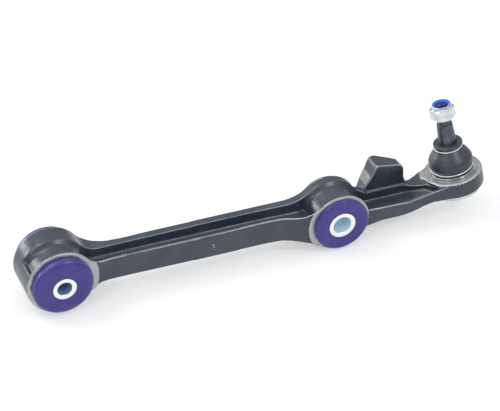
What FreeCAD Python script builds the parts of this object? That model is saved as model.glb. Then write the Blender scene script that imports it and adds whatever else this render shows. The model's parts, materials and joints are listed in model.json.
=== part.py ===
import FreeCAD, Part
import math
import os

# Lower control arm: one forging that carries two polyurethane bushes and a ball joint.
# Frame: origin at the centre of the inner bush, +X towards the ball joint, +Z up.
# The bush bolts lie along Y, and -Y is the front, the side of the deep machined faces.
# Every length is in millimetres and every angle is in degrees.

Vec = FreeCAD.Vector

# ---------------------------------------------------------------- driving dimensions

# Places of the three joints along the arm
damper_bush_x = 282.0
damper_bush_y = -8.6
ball_joint_offset_x = 132.6
ball_joint_y = -1.7
boss_face_z = 13.5
stud_lean_inboard = 10.4
stud_lean_rearward = 8.9

# Eyes that hold the bushes
inner_eye_radius = 33.4
inner_eye_width = 43.4
inner_eye_bore_radius = 26.0
damper_eye_radius = 30.5
damper_eye_width = 37.2
damper_eye_bore_radius = 23.0
inner_facing_radius = 37.5
damper_facing_radius = 33.5
eye_edge_chamfer = 0.8
machining_allowance = 1.0

# Beam between the eyes: an H section with channels open upwards and downwards
beam_half_height_inner = 12.2
beam_half_height_damper = 13.3
beam_front_y = -18.2
beam_rear_y = 10.0
front_flange_thickness = 2.6
rear_flange_thickness = 8.0
web_half_thickness = 3.2
channel_draft = 2.6
channel_end_margin = 25.0
inner_blend_radius = 24.0
damper_blend_radius = 40.0
damper_blend_radius_below = 80.0

# Groove that carries the channel round each eye
groove_depth = 4.2
groove_front_rim = 2.2
inner_groove_rear_rim = 20.0
damper_groove_rear_rim = 9.0
groove_slope = 4.0
groove_run_out = 1.5

# Outer arm between the damper eye and the ball-joint boss
outer_arm_front_y = -22.2
outer_arm_rear_y = 11.3
outer_arm_top_z = 3.0
outer_arm_bottom_z = -13.5
outer_floor_z = -6.5
outer_front_flange = 2.8
outer_rear_flange = 7.0
outer_flange_rise = 8.0

# Stop lug that stands on the rear flange of the outer arm
lug_front_y = 6.8
lug_depth = 20.0
lug_top_length = 26.0
lug_offset_x = 53.0
lug_top_z = 31.0
lug_top_fall = 4.0

# Boss of the ball joint
boss_radius = 29.5
boss_thickness = 17.0
boss_facing_run = 3.6
boss_edge_round = 3.0
foot_seat_margin = 1.5

# Inner bush
inner_sleeve_radius = 11.5
inner_sleeve_bore_radius = 7.1
inner_sleeve_length = 63.6
inner_flange_radius = 29.5
inner_flange_thickness = 9.6
inner_flange_round = 6.5

# Damper bush
damper_sleeve_radius = 13.6
damper_sleeve_bore_radius = 9.1
damper_sleeve_length = 46.6
damper_flange_radius = 27.9
damper_flange_thickness = 4.3
damper_flange_round = 1.6

# Fits of both bushes
sleeve_running_clearance = 0.05
half_bush_gap = 1.0
sleeve_chamfer = 0.7
sleeve_edge_break = 0.3

# Ball joint, measured along the stud axis from the machined face of the boss
housing_radius = 22.0
housing_wall = 4.0
housing_foot_step = 2.6
housing_foot_thickness = 4.8
housing_lip_thickness = 1.3
housing_neck_step = 3.0
housing_neck_top = 7.0
cavity_top_above_centre = 4.5
throat_wall = 0.6
mouth_flare = 3.0
ball_radius = 14.0
ball_centre_depth = 5.0
ball_flat_below_centre = 11.5
ball_seat_clearance = 0.08
seat_split_gap = 0.5
seat_bottom_below_centre = 12.4
throat_polar_angle = 59.0
cover_thickness = 1.3
cover_seat_step = 1.2
cover_opening_step = 0.6
disc_spring_thickness = 1.0
disc_spring_edge_gap = 0.5
disc_spring_bore_radius = 8.0

# Retaining ring of the housing
circlip_thickness = 1.75
circlip_groove_depth = 1.4
circlip_overhang = 2.3
circlip_gap_angle = 26.0
circlip_gap_direction = 8.0
circlip_ear_hole_radius = 1.1
circlip_ear_radius = 2.6
circlip_ear_offset = 0.8
circlip_ear_angle = 5.73
circlip_side_clearance = 0.05

# Ball stud
stud_neck_radius = 7.0
taper_large_radius = 9.2
taper_start_height = 31.0
taper_end_height = 54.0
taper_ratio = 8.0
thread_radius = 7.0
thread_end_height = 69.5
thread_end_chamfer = 1.2
thread_undercut = 0.6
stud_neck_margin = 8.0
stud_neck_cone = 4.0

# Locknut with its polyamide ring
nut_across_flats = 22.0
nut_bottom_height = 61.4
nut_hex_height = 11.2
nut_collar_height = 3.6
nut_turn = 43.0
nut_collar_radius = 9.9
nut_chamfer_angle = 28.0
nut_face_rim = 0.4
nut_collar_roll = 1.4
collar_lip = 0.3
insert_radius = 9.0
insert_thickness = 3.0
insert_bore_radius = 6.6
insert_recess = 0.5

# Dust boot and its two wire clips
boot_wall = 2.0
boot_fit_clearance = 0.15
boot_bulge_wall = 3.1
boot_bulge_height = 12.0
boot_bead_bottom = 2.6
boot_bead_top = 7.0
boot_bead_wall = 1.9
clip_groove_depth = 0.8
clip_groove_low = 1.1
clip_groove_high = 3.5
clip_groove_wall = 0.3
boot_collar_radius = 14.6
boot_collar_bottom = 29.4
boot_collar_top = 33.0
boot_groove_radius = 13.2
boot_groove_height = 28.0
clip_wire_radius = 0.7


# ---------------------------------------------------------------- helpers

def xz_face(points, y):
    """A planar face in a plane of constant y; a point triple is an arc end with its middle."""
    edges = []
    last = points[0]
    for item in points[1:] + [points[0]]:
        if isinstance(item[0], tuple):
            middle, end = item
            edges.append(Part.Arc(Vec(last[0], y, last[1]), Vec(middle[0], y, middle[1]),
                                  Vec(end[0], y, end[1])).toShape())
            last = end
        else:
            edges.append(Part.LineSegment(Vec(last[0], y, last[1]), Vec(item[0], y, item[1])).toShape())
            last = item
    return Part.Face(Part.Wire(edges))


def xy_prism(points, low, high):
    """A prism that stands on a polygon in plan, from one height to another."""
    corners = [Vec(x, y, low) for x, y in points]
    outline = Part.makePolygon(corners + [corners[0]])
    return Part.Face(outline).extrude(Vec(0, 0, high - low))


def eased(start, end):
    """Points along a gentle S from one (x, y) to another, level at both ends."""
    steps = 5
    points = []
    for step in range(steps + 1):
        share = step / steps
        lift = (1.0 - math.cos(math.pi * share)) / 2
        points.append((start[0] + share * (end[0] - start[0]), start[1] + lift * (end[1] - start[1])))
    return points


def plan_wire(front, rear, height):
    """A closed outline in plan between two smooth edges, each a curve through its points."""
    front_curve = Part.BSplineCurve()
    front_curve.interpolate([Vec(x, y, height) for x, y in front])
    rear_curve = Part.BSplineCurve()
    rear_curve.interpolate([Vec(x, y, height) for x, y in reversed(rear)])
    edges = [
        front_curve.toShape(),
        Part.makeLine(Vec(front[-1][0], front[-1][1], height), Vec(rear[-1][0], rear[-1][1], height)),
        rear_curve.toShape(),
        Part.makeLine(Vec(rear[0][0], rear[0][1], height), Vec(front[0][0], front[0][1], height)),
    ]
    return Part.Wire(edges)


def plan_prism(front, rear, low, high):
    """A prism that stands on a smooth outline in plan."""
    return Part.Face(plan_wire(front, rear, low)).extrude(Vec(0, 0, high - low))


def y_cylinder(radius, x, y_low, y_high):
    """A cylinder along Y at height zero."""
    return Part.makeCylinder(radius, y_high - y_low, Vec(x, y_low, 0), Vec(0, 1, 0))


def turned_about_y(profile, x=0.0):
    """A full turn of a profile of (radius, y) points about the bush axis at x."""
    corners = [Vec(x + radius, y, 0) for radius, y in profile]
    face = Part.Face(Part.makePolygon(corners + [corners[0]]))
    return face.revolve(Vec(x, 0, 0), Vec(0, 1, 0), 360)


def turned_about_z(profile):
    """A full turn of a profile of (radius, height) points about the local stud axis."""
    corners = [Vec(radius, 0, height) for radius, height in profile]
    face = Part.Face(Part.makePolygon(corners + [corners[0]]))
    return face.revolve(Vec(0, 0, 0), Vec(0, 0, 1), 360)


def wire_ring(ring_radius, wire_radius, height):
    """A closed ring of round wire about the local stud axis."""
    return Part.makeTorus(ring_radius, wire_radius, Vec(0, 0, height), Vec(0, 0, 1))


def round_edges(solid, radius, chosen):
    """Round the edges of a solid for which the test is true."""
    edges = [edge for edge in solid.Edges if chosen(edge)]
    return solid.makeFillet(radius, edges) if edges else solid


def stud_direction():
    """The stud axis as a unit vector; it leans towards the bushes and to the rear."""
    lean_x = -math.tan(math.radians(stud_lean_inboard))
    lean_y = math.tan(math.radians(stud_lean_rearward))
    return Vec(lean_x, lean_y, 1.0).normalize()


def place_ball_joint(shape):
    """Carry a shape from the local stud frame to the boss."""
    turn = FreeCAD.Rotation(Vec(0, 0, 1), stud_direction())
    placed = shape.copy()
    placed.Placement = FreeCAD.Placement(Vec(ball_joint_x, ball_joint_y, boss_face_z), turn)
    return placed


# ---------------------------------------------------------------- derived places

ball_joint_x = damper_bush_x + ball_joint_offset_x
lug_start_x = damper_bush_x + lug_offset_x
housing_foot_radius = housing_radius + housing_foot_step
housing_neck_radius = housing_radius - housing_neck_step
circlip_groove_radius = housing_radius - circlip_groove_depth
circlip_outer_radius = housing_radius + circlip_overhang
boot_bead_radius = housing_neck_radius + boot_bead_wall
boot_bulge_radius = housing_neck_radius + boot_bulge_wall
inner_front_y = -inner_eye_width / 2
inner_rear_y = inner_eye_width / 2
damper_front_y = damper_bush_y - damper_eye_width / 2
damper_rear_y = damper_bush_y + damper_eye_width / 2
channel_front_y = beam_front_y + front_flange_thickness
channel_rear_y = beam_rear_y - rear_flange_thickness
ball_centre_z = -ball_centre_depth
seat_radius = housing_radius - housing_wall


# ---------------------------------------------------------------- forging

def blend(eye_radius, half_height, radius):
    """Where a concave arc of the given radius meets the eye and the beam edge, and its middle."""
    across = math.sqrt((eye_radius + radius) ** 2 - (half_height + radius) ** 2)
    angle = math.atan2(half_height + radius, across)
    on_eye = (eye_radius * math.cos(angle), eye_radius * math.sin(angle))
    on_beam = (across, half_height)
    middle_angle = (angle + math.pi / 2) / 2
    middle = (across - radius * math.cos(middle_angle),
              half_height + radius - radius * math.sin(middle_angle))
    return on_eye, middle, on_beam


def beam_outline():
    """Side outline of the beam with its blends into both eyes, wider below the damper eye."""
    eye_a, mid_a, beam_a = blend(inner_eye_radius, beam_half_height_inner, inner_blend_radius)
    eye_b, mid_b, beam_b = blend(damper_eye_radius, beam_half_height_damper, damper_blend_radius)
    eye_c, mid_c, beam_c = blend(damper_eye_radius, beam_half_height_damper, damper_blend_radius_below)
    span = damper_bush_x
    return [
        (0.0, 0.0),
        (eye_a[0], -eye_a[1]),
        ((mid_a[0], -mid_a[1]), (beam_a[0], -beam_a[1])),
        (span - beam_c[0], -beam_c[1]),
        ((span - mid_c[0], -mid_c[1]), (span - eye_c[0], -eye_c[1])),
        (span, 0.0),
        (span - eye_b[0], eye_b[1]),
        ((span - mid_b[0], mid_b[1]), (span - beam_b[0], beam_b[1])),
        (beam_a[0], beam_a[1]),
        ((mid_a[0], mid_a[1]), (eye_a[0], eye_a[1])),
    ]


def beam_blank():
    """The beam before its channels are cut, flared in plan to the width of each eye."""
    side = xz_face(beam_outline(), -60.0).extrude(Vec(0, 120, 0))
    flare_in = inner_eye_radius
    flare_out = damper_bush_x - damper_eye_radius
    front_in = inner_front_y + machining_allowance
    front_out = damper_front_y + machining_allowance
    rear_in = inner_rear_y - machining_allowance
    front = [(-5.0, front_in)]
    front += eased((flare_in - 8.0, front_in), (flare_in + 22.0, beam_front_y))
    front += [(flare_in + 60.0, beam_front_y), (flare_out - 80.0, beam_front_y)]
    front += eased((flare_out - 34.0, beam_front_y), (flare_out + 3.0, front_out))
    front += [(damper_bush_x + 5.0, front_out)]
    rear = [(-5.0, rear_in)]
    rear += eased((flare_in - 10.0, rear_in), (flare_in + 26.0, beam_rear_y))
    rear += eased((flare_in + 60.0, beam_rear_y), (damper_bush_x + 5.0, beam_rear_y))
    return side.common(plan_prism(front, rear, -60.0, 60.0))


def machined_pads():
    """Round pads about each eye, as far as the facing cutter runs out onto the front flange."""
    pads = []
    eyes = ((0.0, inner_front_y, inner_facing_radius), (damper_bush_x, damper_front_y, damper_facing_radius))
    for x, face_y, radius in eyes:
        depth = channel_front_y - face_y - machining_allowance
        plate = xz_face(beam_outline(), face_y).extrude(Vec(0, depth, 0))
        pads.append(plate.common(y_cylinder(radius, x, face_y, face_y + depth)))
    return pads


def channel_plan(height, inset):
    """Plan outline of the channel; beside each eye it widens to the front rim of the groove."""
    flare_in = inner_eye_radius
    flare_out = damper_bush_x - damper_eye_radius
    front_in = inner_front_y + groove_front_rim + inset
    front_mid = channel_front_y + inset
    front_out = damper_front_y + groove_front_rim + inset
    rear_in = inner_rear_y - inner_groove_rear_rim - inset
    rear_mid = channel_rear_y - inset
    rear_out = damper_rear_y - damper_groove_rear_rim - inset
    front = [(0.0, front_in)]
    front += eased((flare_in - 6.0, front_in), (flare_in + 26.0, front_mid))
    front += [(flare_in + 60.0, front_mid), (flare_out - 80.0, front_mid)]
    front += eased((flare_out - 36.0, front_mid), (flare_out + 3.0, front_out))
    front += [(damper_bush_x, front_out)]
    rear = [(0.0, rear_in)]
    rear += eased((flare_in, rear_in), (flare_in + 40.0, rear_mid))
    rear += eased((flare_out - 40.0, rear_mid), (flare_out, rear_out))
    rear += [(damper_bush_x, rear_out)]
    return plan_wire(front, rear, height)


def channel(side):
    """The channel of the beam, above for side 1 and below for side -1, between the two eyes."""
    floor = side * web_half_thickness
    top = side * beam_half_height_damper
    rise = side * channel_end_margin
    # The walls keep their draft to the flange tops and go on straight to the open end.
    drafted = Part.makeLoft([channel_plan(floor, channel_draft), channel_plan(top, 0.0)], True, True)
    straight = Part.Face(channel_plan(top, 0.0)).extrude(Vec(0, 0, rise))
    cutters = []
    for cutter in (drafted, straight):
        for radius, x in ((inner_eye_radius, 0.0), (damper_eye_radius, damper_bush_x)):
            cutter = cutter.cut(y_cylinder(radius - 0.3, x, -80, 80))
        cutters.append(cutter)
    return cutters


def groove(x, eye_radius, front, rear, start, sweep):
    """A round-bottomed groove about an eye, from a start angle above +X and over a sweep."""
    floor = eye_radius - groove_depth
    beyond = eye_radius + groove_run_out
    profile = [
        (beyond, front),
        (eye_radius, front),
        (floor, front + groove_slope),
        (floor, rear - groove_slope),
        (eye_radius, rear),
        (beyond, rear),
    ]
    corners = [Vec(x + radius, y, 0) for radius, y in profile]
    face = Part.Face(Part.makePolygon(corners + [corners[0]]))
    cutter = face.revolve(Vec(x, 0, 0), Vec(0, -1, 0), sweep)
    cutter.rotate(Vec(x, 0, 0), Vec(0, -1, 0), start)
    return cutter


def outer_plan():
    """The front and the rear edge of the outer arm in plan."""
    eye_edge = damper_bush_x + damper_eye_radius
    boss_start = ball_joint_x - boss_radius
    front = [
        (damper_bush_x, damper_front_y + 4.0),
        (eye_edge, outer_arm_front_y + 0.5),
        (eye_edge + 35.0, outer_arm_front_y),
        (boss_start, outer_arm_front_y - 3.0),
        (ball_joint_x - 12.0, ball_joint_y - boss_radius + 3.0),
        (ball_joint_x, ball_joint_y - boss_radius + 1.0),
    ]
    rear = [
        (damper_bush_x, damper_rear_y - 1.0),
        (eye_edge, outer_arm_rear_y + 0.6),
        (eye_edge + 35.0, outer_arm_rear_y),
        (boss_start - 10.0, outer_arm_rear_y),
        (boss_start + 7.0, outer_arm_rear_y + 6.0),
        (ball_joint_x, ball_joint_y + boss_radius - 1.0),
    ]
    return front, rear


def outer_arm():
    """The arm from the damper eye to the boss; its front flange climbs to the boss face."""
    eye_edge = damper_bush_x + damper_eye_radius
    boss_start = ball_joint_x - boss_radius
    boss_bottom_z = boss_face_z - boss_thickness
    below = [
        (damper_bush_x, outer_arm_bottom_z - 9.0),
        (eye_edge + 3.0, outer_arm_bottom_z - 3.3),
        (eye_edge + 22.0, outer_arm_bottom_z),
        (eye_edge + 38.0, outer_arm_bottom_z),
        (boss_start - 21.0, outer_arm_bottom_z + 2.7),
        (boss_start - 8.0, boss_bottom_z - 2.0),
        (boss_start, boss_bottom_z + 0.2),
        (boss_start + 8.0, boss_bottom_z + 0.6),
        (ball_joint_x, boss_bottom_z + 3.0),
    ]
    base_top = [
        (ball_joint_x, boss_face_z + 6.0),
        (boss_start + 8.0, boss_face_z - 2.0),
        (boss_start - 1.0, outer_arm_top_z + 3.5),
        (boss_start - 12.0, outer_arm_top_z),
        (eye_edge + 12.0, outer_arm_top_z),
        (eye_edge - 2.0, outer_arm_top_z + 9.0),
        (damper_bush_x + 12.0, damper_eye_radius - 4.0),
        (damper_bush_x, damper_eye_radius - 4.0),
    ]
    flange_top = [
        (ball_joint_x, boss_face_z + 6.0),
        (boss_start + 6.0, outer_arm_top_z + outer_flange_rise),
        (boss_start - 10.0, outer_arm_top_z + 0.4 * outer_flange_rise),
        (boss_start - 26.0, outer_arm_top_z - 1.0),
        (eye_edge + 12.0, outer_arm_top_z - 1.0),
        (damper_bush_x, outer_arm_top_z + 1.0),
    ]
    plan = plan_prism(*outer_plan(), -60.0, 60.0)
    split_y = outer_arm_front_y + outer_front_flange + 2.0
    base = xz_face(below + base_top, split_y).extrude(Vec(0, 60, 0))
    flange = xz_face(below + flange_top, split_y - 60).extrude(Vec(0, 60, 0))
    return base.fuse(flange).common(plan)


def outer_channel():
    """The pocket in the outer arm, which narrows and rises towards the boss."""
    eye_edge = damper_bush_x + damper_eye_radius
    boss_start = ball_joint_x - boss_radius
    front = outer_arm_front_y + outer_front_flange
    rear = outer_arm_rear_y - outer_rear_flange
    plan = [
        (damper_bush_x + 10.0, front + 2.0),
        (eye_edge + 8.0, front),
        (boss_start - 22.0, front),
        (boss_start + 6.0, front - 3.6),
        (boss_start - 2.0, rear - 11.5),
        (boss_start - 20.0, rear),
        (damper_bush_x + 10.0, rear),
    ]
    floor = [
        (damper_bush_x, outer_floor_z),
        (boss_start - 20.0, outer_floor_z),
        (boss_start + 8.0, outer_arm_top_z + 3.0),
        (boss_start + 8.0, 60.0),
        (damper_bush_x, 60.0),
    ]
    pocket = xz_face(floor, -60.0).extrude(Vec(0, 120, 0)).common(xy_prism(plan, -60.0, 60.0))
    # Low down the pocket goes on into the front part of the eye, as deep as the groove.
    low = pocket.common(xy_prism(plan, -60.0, outer_arm_top_z + 3.0))
    groove_rear = damper_rear_y - damper_groove_rear_rim
    low = low.cut(y_cylinder(damper_eye_radius - groove_depth, damper_bush_x, -80, groove_rear))
    low = low.cut(y_cylinder(damper_eye_radius, damper_bush_x, groove_rear, 80))
    return [pocket.cut(y_cylinder(damper_eye_radius, damper_bush_x, -80, 80)), low]


def spot_faces():
    """Cutters before and behind both eyes, which leave room for the flanges of the bushes."""
    eyes = (
        (0.0, inner_facing_radius, inner_front_y, inner_rear_y),
        (damper_bush_x, damper_facing_radius, damper_front_y, damper_rear_y),
    )
    cutters = []
    for x, radius, front, rear in eyes:
        cutters.append(y_cylinder(radius, x, front - 30.0, front))
        cutters.append(y_cylinder(radius, x, rear, rear + 30.0))
    return cutters


def stop_lug():
    """The stop lug: a block with a falling top, a flared inboard side and a slanted rear."""
    end_x = lug_start_x + lug_top_length
    side = [
        (lug_start_x - 19.0, outer_arm_bottom_z + 6.0),
        (end_x + 10.0, outer_arm_bottom_z + 6.0),
        (end_x + 7.0, outer_arm_top_z + 2.0),
        (end_x + 4.5, outer_arm_top_z + 8.0),
        (end_x + 4.0, lug_top_z - lug_top_fall - 5.0),
        (end_x - 1.0, lug_top_z - lug_top_fall),
        (lug_start_x, lug_top_z),
        (lug_start_x - 2.0, lug_top_z - 3.5),
        (lug_start_x - 5.0, lug_top_z - 12.0),
        (lug_start_x - 11.0, lug_top_z - 21.0),
    ]
    block = xz_face(side, -60.0).extrude(Vec(0, 120, 0))
    plan = [
        (lug_start_x - 19.0, lug_front_y),
        (end_x + 10.0, lug_front_y),
        (end_x + 9.0, lug_front_y + 0.3 * lug_depth),
        (end_x - 7.0, lug_front_y + 0.72 * lug_depth),
        (lug_start_x + 6.0, lug_front_y + lug_depth),
        (lug_start_x - 6.0, lug_front_y + 0.92 * lug_depth),
        (lug_start_x - 19.0, lug_front_y + 0.55 * lug_depth),
    ]
    return block.common(xy_prism(plan, -60.0, 60.0))


def boss():
    """The round boss of the ball joint, about the stud axis."""
    plain = Part.makeCylinder(boss_radius, boss_thickness, Vec(0, 0, -boss_thickness))
    low = -boss_thickness + 0.01
    rounded = round_edges(plain, boss_edge_round, lambda edge: edge.BoundBox.ZMax < low)
    return place_ball_joint(rounded)


def eye(radius, x, front, rear):
    """A plain eye with its machined faces lightly chamfered."""
    solid = y_cylinder(radius, x, front, rear)
    return solid.makeChamfer(eye_edge_chamfer, [edge for edge in solid.Edges if edge.BoundBox.YLength < 0.01])


def forged_arm():
    body = beam_blank().fuse(machined_pads())
    body = body.cut(channel(1) + channel(-1))
    body = body.fuse(eye(inner_eye_radius, 0.0, inner_front_y, inner_rear_y))
    body = body.fuse(eye(damper_eye_radius, damper_bush_x, damper_front_y, damper_rear_y))
    body = body.fuse([outer_arm(), boss()])
    body = body.cut(outer_channel())
    body = body.fuse(stop_lug())
    body = body.cut(spot_faces())
    facing = Part.makeCylinder(boss_radius + boss_facing_run, 60.0)
    body = body.cut(place_ball_joint(facing))
    inner_front = inner_front_y + groove_front_rim
    inner_rear = inner_rear_y - inner_groove_rear_rim
    damper_front = damper_front_y + groove_front_rim
    damper_rear = damper_rear_y - damper_groove_rear_rim
    grooves = [
        groove(0.0, inner_eye_radius, inner_front, inner_rear, 6.0, 147.0),
        groove(0.0, inner_eye_radius, inner_front, inner_rear, -153.0, 147.0),
        groove(damper_bush_x, damper_eye_radius, damper_front, damper_rear, 12.0, 162.0),
        groove(damper_bush_x, damper_eye_radius, damper_front, damper_rear, -174.0, 110.0),
    ]
    body = body.cut(grooves)
    body = body.cut(y_cylinder(inner_eye_bore_radius, 0.0, -80, 80))
    body = body.cut(y_cylinder(damper_eye_bore_radius, damper_bush_x, -80, 80))
    # The foot of the housing seats against a spot face under the boss.
    under = Part.makeCylinder(housing_foot_radius + foot_seat_margin, 30.0, Vec(0, 0, -boss_thickness - 30.0))
    body = body.cut(place_ball_joint(under))
    hole = Part.makeCylinder(housing_radius, 200.0, Vec(0, 0, -100))
    return body.cut(place_ball_joint(hole))


# ---------------------------------------------------------------- bushes

def half_bush(x, sign, centre_y, eye_half_width, body_radius, bore, flange, thickness, rounding):
    """One flanged half of a split polyurethane bush; sign -1 is the front half."""
    inner_y = centre_y + sign * half_bush_gap / 2
    face_y = centre_y + sign * eye_half_width
    end_y = face_y + sign * thickness
    steps = 6
    rim = []
    for step in range(steps + 1):
        angle = math.radians(90.0 * step / steps)
        rim.append((flange - rounding + rounding * math.cos(angle),
                    end_y - sign * rounding + sign * rounding * math.sin(angle)))
    profile = [(bore, inner_y), (body_radius, inner_y), (body_radius, face_y), (flange, face_y)]
    return turned_about_y(profile + rim + [(bore, end_y)], x)


def sleeve(x, centre_y, radius, bore, length):
    """A steel sleeve with a chamfered bore."""
    low = centre_y - length / 2
    high = centre_y + length / 2
    profile = [
        (bore + sleeve_chamfer, low),
        (radius - sleeve_edge_break, low),
        (radius, low + sleeve_edge_break),
        (radius, high - sleeve_edge_break),
        (radius - sleeve_edge_break, high),
        (bore + sleeve_chamfer, high),
        (bore, high - sleeve_chamfer),
        (bore, low + sleeve_chamfer),
    ]
    return turned_about_y(profile, x)


# ---------------------------------------------------------------- ball joint

def throat():
    """Radius and height at which the housing closes over the upper seat."""
    seat = ball_radius + ball_seat_clearance
    polar = math.radians(throat_polar_angle)
    return seat * math.sin(polar) + throat_wall, ball_centre_z + seat * math.cos(polar)


def ball_housing():
    """The turned housing that is pushed into the boss from below and held by the circlip."""
    bottom = -boss_thickness - housing_foot_thickness
    cover_top = bottom + housing_lip_thickness + cover_thickness
    cavity_top = ball_centre_z + cavity_top_above_centre
    throat_r, throat_z = throat()
    mouth_r = throat_r + mouth_flare
    profile = [
        (seat_radius - cover_opening_step, bottom),
        (housing_foot_radius, bottom),
        (housing_foot_radius, -boss_thickness),
        (housing_radius, -boss_thickness),
        (housing_radius, 0.0),
        (circlip_groove_radius, 0.0),
        (circlip_groove_radius, circlip_thickness + circlip_side_clearance),
        (housing_radius, circlip_thickness + circlip_side_clearance),
        (housing_radius, boot_bead_bottom),
        (housing_neck_radius, boot_bead_bottom),
        (housing_neck_radius, housing_neck_top),
        (mouth_r, housing_neck_top),
        (throat_r, throat_z),
        (seat_radius, cavity_top),
        (seat_radius, cover_top),
        (seat_radius + cover_seat_step, cover_top),
        (seat_radius + cover_seat_step, cover_top - cover_thickness),
        (seat_radius - cover_opening_step, cover_top - cover_thickness),
    ]
    return turned_about_z(profile)


def ball_cover():
    bottom = -boss_thickness - housing_foot_thickness + housing_lip_thickness
    return Part.makeCylinder(seat_radius + cover_seat_step, cover_thickness, Vec(0, 0, bottom))


def seat_bottom():
    return ball_centre_z - seat_bottom_below_centre


def disc_spring():
    """A shallow conical washer between the cover and the lower seat."""
    low = -boss_thickness - housing_foot_thickness + housing_lip_thickness + cover_thickness
    high = seat_bottom()
    outer = seat_radius - disc_spring_edge_gap
    profile = [
        (disc_spring_bore_radius, high - disc_spring_thickness),
        (outer, low),
        (outer, low + disc_spring_thickness),
        (disc_spring_bore_radius, high),
    ]
    return turned_about_z(profile)


def lower_seat():
    low = seat_bottom()
    high = ball_centre_z - seat_split_gap / 2
    ring = Part.makeCylinder(seat_radius, high - low, Vec(0, 0, low))
    return ring.cut(Part.makeSphere(ball_radius + ball_seat_clearance, Vec(0, 0, ball_centre_z)))


def upper_seat():
    """The upper seat ends at the throat, where the housing closes over it."""
    low = ball_centre_z + seat_split_gap / 2
    cavity_top = ball_centre_z + cavity_top_above_centre
    throat_r, throat_z = throat()
    profile = [
        (0.0, low),
        (seat_radius, low),
        (seat_radius, cavity_top),
        (throat_r, throat_z),
        (0.0, throat_z),
    ]
    ring = turned_about_z(profile)
    return ring.cut(Part.makeSphere(ball_radius + ball_seat_clearance, Vec(0, 0, ball_centre_z)))


def circlip():
    """An external retaining ring with a gap and two eared ends."""
    ring = Part.makeCylinder(circlip_outer_radius, circlip_thickness)
    ear_radius = (circlip_outer_radius + circlip_groove_radius) / 2 + circlip_ear_offset
    half_gap = math.radians(circlip_gap_angle / 2)
    towards = math.radians(circlip_gap_direction)
    ears = []
    holes = []
    for sign in (-1, 1):
        angle = towards + sign * (half_gap + math.radians(circlip_ear_angle))
        spot = Vec(ear_radius * math.cos(angle), ear_radius * math.sin(angle), 0)
        ears.append(Part.makeCylinder(circlip_ear_radius, circlip_thickness, spot))
        holes.append(Part.makeCylinder(circlip_ear_hole_radius, circlip_thickness, spot))
    ring = ring.fuse(ears)
    reach = 2 * circlip_outer_radius
    wedge = [
        (0.0, 0.0),
        (reach * math.cos(towards - half_gap), reach * math.sin(towards - half_gap)),
        (reach * math.cos(towards + half_gap), reach * math.sin(towards + half_gap)),
    ]
    ring = ring.cut(xy_prism(wedge, -1.0, circlip_thickness + 1.0))
    inside = Part.makeCylinder(circlip_groove_radius, 3 * circlip_thickness, Vec(0, 0, -circlip_thickness))
    return ring.cut(inside).cut(holes)


def taper_radius(height):
    """Radius of the stud taper, whose diameter falls by one in taper_ratio."""
    return taper_large_radius - (height - taper_start_height) / (2 * taper_ratio)


def ball_stud():
    """A flat-bottomed ball, a neck, a taper for the steering knuckle and a threaded end."""
    ball = Part.makeSphere(ball_radius, Vec(0, 0, ball_centre_z))
    floor = ball_centre_z - ball_flat_below_centre
    ball = ball.cut(Part.makeBox(60, 60, 30, Vec(-30, -30, floor - 30)))
    neck_top = taper_start_height - stud_neck_margin
    profile = [
        (0.0, ball_centre_z),
        (stud_neck_radius, ball_centre_z),
        (stud_neck_radius, neck_top),
        (taper_large_radius, neck_top + stud_neck_cone),
        (taper_large_radius, taper_start_height),
        (taper_radius(taper_end_height), taper_end_height),
        (thread_radius - thread_undercut, taper_end_height + 0.8),
        (thread_radius - thread_undercut, taper_end_height + 2.4),
        (thread_radius, taper_end_height + 3.0),
        (thread_radius, thread_end_height - thread_end_chamfer),
        (thread_radius - thread_end_chamfer, thread_end_height),
        (0.0, thread_end_height),
    ]
    return ball.fuse(turned_about_z(profile)).removeSplitter()


def nut():
    """A hexagon nut with a round collar that is rolled over its polyamide ring."""
    corner = nut_across_flats / math.sqrt(3)
    points = []
    for side in range(6):
        angle = math.radians(60 * side + nut_turn)
        points.append((corner * math.cos(angle), corner * math.sin(angle)))
    top = nut_bottom_height + nut_hex_height
    hexagon = xy_prism(points, nut_bottom_height, top)
    inside = nut_across_flats / 2 - nut_face_rim
    rise = (corner - inside) * math.tan(math.radians(nut_chamfer_angle))
    blank = turned_about_z([
        (0.0, nut_bottom_height),
        (inside, nut_bottom_height),
        (corner, nut_bottom_height + rise),
        (corner, top - rise),
        (inside, top),
        (0.0, top),
    ])
    collar_top = top + nut_collar_height
    collar = turned_about_z([
        (0.0, top - 0.5),
        (nut_collar_radius, top - 0.5),
        (nut_collar_radius, collar_top - nut_collar_roll),
        (insert_radius + collar_lip, collar_top),
        (0.0, collar_top),
    ])
    body = hexagon.common(blank).fuse(collar)
    body = body.cut(Part.makeCylinder(thread_radius, 60.0, Vec(0, 0, nut_bottom_height - 10)))
    ring_low = collar_top - insert_recess - insert_thickness
    body = body.cut(Part.makeCylinder(insert_radius, 20.0, Vec(0, 0, ring_low)))
    return body.removeSplitter()


def nut_insert():
    collar_top = nut_bottom_height + nut_hex_height + nut_collar_height
    low = collar_top - insert_recess - insert_thickness
    ring = Part.makeCylinder(insert_radius, insert_thickness, Vec(0, 0, low))
    return ring.cut(Part.makeCylinder(insert_bore_radius, insert_thickness, Vec(0, 0, low)))


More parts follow.
